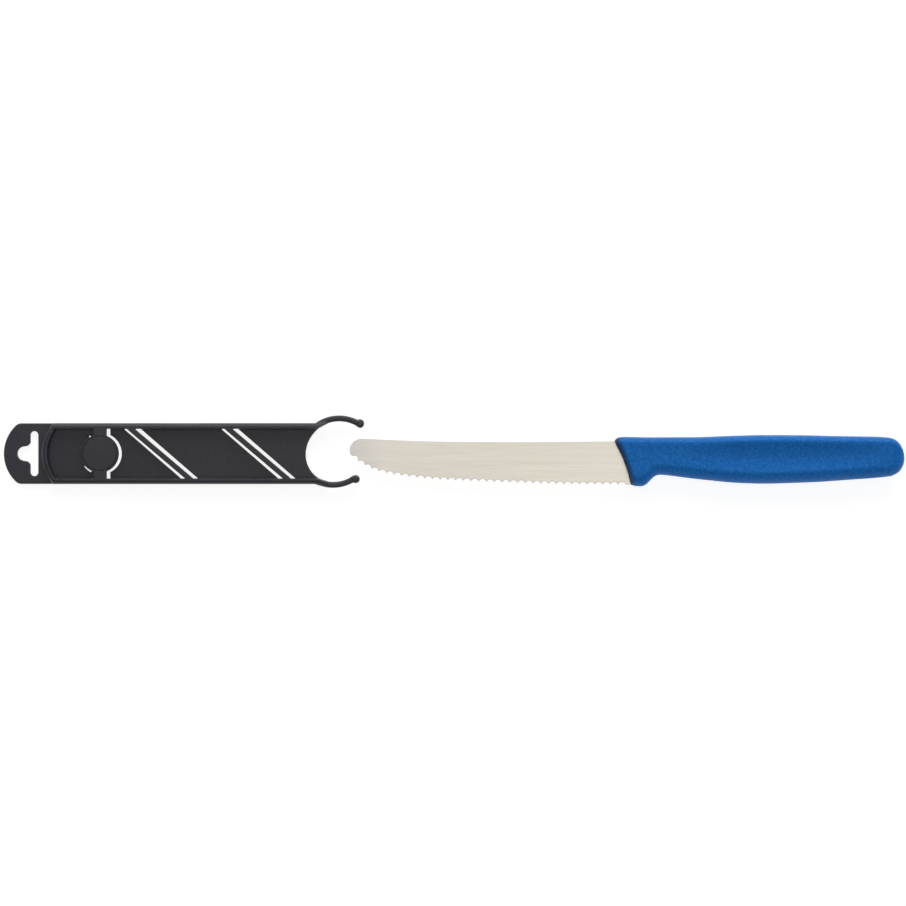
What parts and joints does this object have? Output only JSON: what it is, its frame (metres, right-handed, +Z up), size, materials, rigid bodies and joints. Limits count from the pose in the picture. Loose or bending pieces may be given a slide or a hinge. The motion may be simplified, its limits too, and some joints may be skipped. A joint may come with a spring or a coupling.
{
  "type": "serrated knife with blade guard",
  "caption": "Small serrated knife with a rounded tip, a one-piece moulded blue grip and a black pull-off blade guard with a hanging slot and a spring clip.",
  "frame": {"origin": "on the surface that the knife lies on, under the middle of the whole layout, guard and knife together", "axes": "+Z up out of the blade's flat side, +X along the knife from the guard's hanging end to the handle's butt, +Y towards the blade's back, so the teeth point towards -Y"},
  "size_m": [0.3514, 0.0289, 0.0114],
  "materials": {
    "steel": "fine lengthwise brushed stainless steel",
    "grip_plastic": "finely spark-textured moulded plastic",
    "guard_plastic": "satin moulded plastic"
  },
  "bodies": {
    "knife": {"blade": "steel", "handle": "grip_plastic"},
    "guard": {"blade_guard": "guard_plastic"}
  },
  "joints": [
    {"name": "guard_slide", "type": "slide", "parent": "knife", "child": "guard", "axis": [0.9995, -0.0311, 0.0097], "range_m": [0, 0.1155]}
  ]
}
